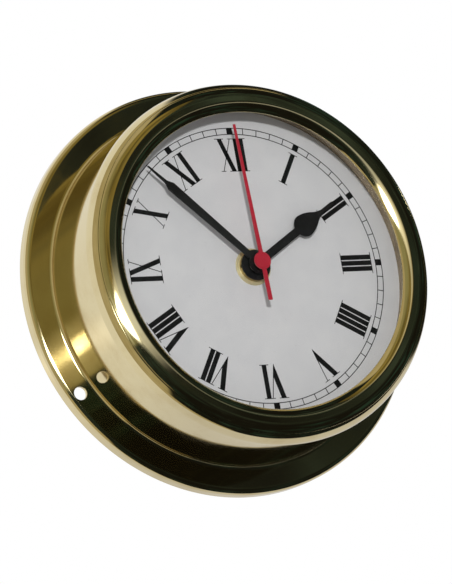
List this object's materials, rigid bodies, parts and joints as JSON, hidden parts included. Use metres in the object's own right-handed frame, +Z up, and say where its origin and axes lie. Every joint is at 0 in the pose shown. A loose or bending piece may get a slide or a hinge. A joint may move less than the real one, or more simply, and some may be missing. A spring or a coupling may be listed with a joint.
{
  "type": "bulkhead clock",
  "caption": "Round brass ship's deck clock with a screw-on bezel, Roman dial, three hands and a quartz movement, for screwing to a bulkhead.",
  "frame": {"origin": "centre of the back plane, where the rim of the case rests on the wall", "axes": "-Y points out of the wall towards the viewer, +Z is up through XII o'clock, +X is the side of III o'clock"},
  "size_m": [0.152, 0.0424, 0.152],
  "materials": {
    "polished_brass": "polished, lacquered, fine turning lines",
    "turned_brass": "turned, unpolished",
    "dial_white": "matt white enamel with black printing",
    "hand_black": "satin black lacquer",
    "hand_red": "satin red lacquer",
    "clear_glass": "clear flat glass",
    "black_rubber": "moulded",
    "spring_steel": "drawn wire and strip",
    "case_plastic": "moulded, fine texture",
    "wheel_plastic": "moulded acetal",
    "arbor_steel": "ground",
    "soft_iron": "stamped",
    "magnet_grey": "sintered",
    "copper_wire": "enamelled winding",
    "board_laminate": "phenolic laminate",
    "chip_resin": "resin drop",
    "crystal_can": "drawn can",
    "cell_jacket": "printed jacket without marks",
    "knob_plastic": "moulded, ridged"
  },
  "bodies": {
    "case": {"case_shell": "polished_brass", "dial_seat_ring": "turned_brass", "dial_plate": "dial_white", "rubber_washer": "black_rubber", "brass_washer": "polished_brass", "centre_nut": "turned_brass", "centre_bush": "turned_brass", "movement_case": "case_plastic", "movement_cover": "case_plastic", "middle_plate": "wheel_plastic", "stator": "soft_iron", "coil_core": "soft_iron", "coil_bobbin": "wheel_plastic", "coil_winding": "copper_wire", "circuit_board": "board_laminate", "clock_chip": "chip_resin", "quartz_crystal": "crystal_can", "positive_contact": "spring_steel", "negative_contact": "spring_steel"},
    "glazing": {"glass_lens": "clear_glass", "glass_gasket": "black_rubber", "glass_spring_ring": "spring_steel"},
    "bezel": {"bezel_ring": "polished_brass"},
    "minute_group": {"minute_hand": "hand_black", "minute_hand_collet": "hand_black", "minute_pipe": "turned_brass", "centre_wheel": "wheel_plastic"},
    "hour_group": {"hour_hand": "hand_black", "hour_hand_collet": "hand_black", "hour_wheel": "wheel_plastic"},
    "second_group": {"second_hand": "hand_red", "second_hand_tube": "turned_brass", "second_arbor": "arbor_steel", "second_wheel": "wheel_plastic"},
    "third_group": {"third_wheel": "wheel_plastic"},
    "intermediate_group": {"intermediate_wheel": "wheel_plastic"},
    "rotor_group": {"rotor_pinion": "wheel_plastic", "rotor_magnet": "magnet_grey"},
    "motion_group": {"motion_wheel": "wheel_plastic"},
    "knob_group": {"setting_arbor": "wheel_plastic", "setting_knob": "knob_plastic"},
    "battery": {"battery_cell": "cell_jacket"}
  },
  "joints": [
    {"name": "minute_hand_turn", "type": "hinge", "parent": "case", "child": "minute_group", "pos_m": [0, 0, 0], "axis": [0, 1, 0], "continuous": true},
    {"name": "hour_hand_turn", "type": "hinge", "parent": "case", "child": "hour_group", "pos_m": [0, 0, 0], "axis": [0, 1, 0], "continuous": true},
    {"name": "second_hand_turn", "type": "hinge", "parent": "case", "child": "second_group", "pos_m": [0, 0, 0], "axis": [0, 1, 0], "continuous": true},
    {"name": "third_wheel_turn", "type": "hinge", "parent": "case", "child": "third_group", "pos_m": [-0.00349, 0, 0.00958], "axis": [0, 1, 0], "continuous": true},
    {"name": "intermediate_wheel_turn", "type": "hinge", "parent": "case", "child": "intermediate_group", "pos_m": [0.00624, 0, 0.0036], "axis": [0, 1, 0], "continuous": true},
    {"name": "rotor_turn", "type": "hinge", "parent": "case", "child": "rotor_group", "pos_m": [0.01281, 0, 0.00599], "axis": [0, 1, 0], "continuous": true},
    {"name": "motion_wheel_turn", "type": "hinge", "parent": "case", "child": "motion_group", "pos_m": [-0.00945, 0, -0.00167], "axis": [0, 1, 0], "continuous": true},
    {"name": "setting_knob_turn", "type": "hinge", "parent": "case", "child": "knob_group", "pos_m": [-0.01905, 0, -0.00167], "axis": [0, 1, 0], "continuous": true},
    {"name": "bezel_lift", "type": "slide", "parent": "case", "child": "glazing", "axis": [0, -1, 0], "range_m": [0, 0.00601]},
    {"name": "bezel_turn", "type": "hinge", "parent": "glazing", "child": "bezel", "pos_m": [0, -0.036, 0], "axis": [0, -1, 0], "range_deg": [0, 1440]},
    {"name": "battery_slide", "type": "slide", "parent": "case", "child": "battery", "axis": [0, 1, 0], "range_m": [0, 0.02]}
  ],
  "couplings": [
    {"joint": "hour_hand_turn", "follows": "minute_hand_turn", "ratio": 0.083333},
    {"joint": "second_hand_turn", "follows": "minute_hand_turn", "ratio": 60},
    {"joint": "third_wheel_turn", "follows": "minute_hand_turn", "ratio": -8},
    {"joint": "intermediate_wheel_turn", "follows": "minute_hand_turn", "ratio": -300},
    {"joint": "rotor_turn", "follows": "minute_hand_turn", "ratio": 1800},
    {"joint": "motion_wheel_turn", "follows": "minute_hand_turn", "ratio": -0.33333},
    {"joint": "setting_knob_turn", "follows": "minute_hand_turn", "ratio": 1},
    {"joint": "bezel_lift", "follows": "bezel_turn", "m_per_rad": 0.00023873}
  ]
}
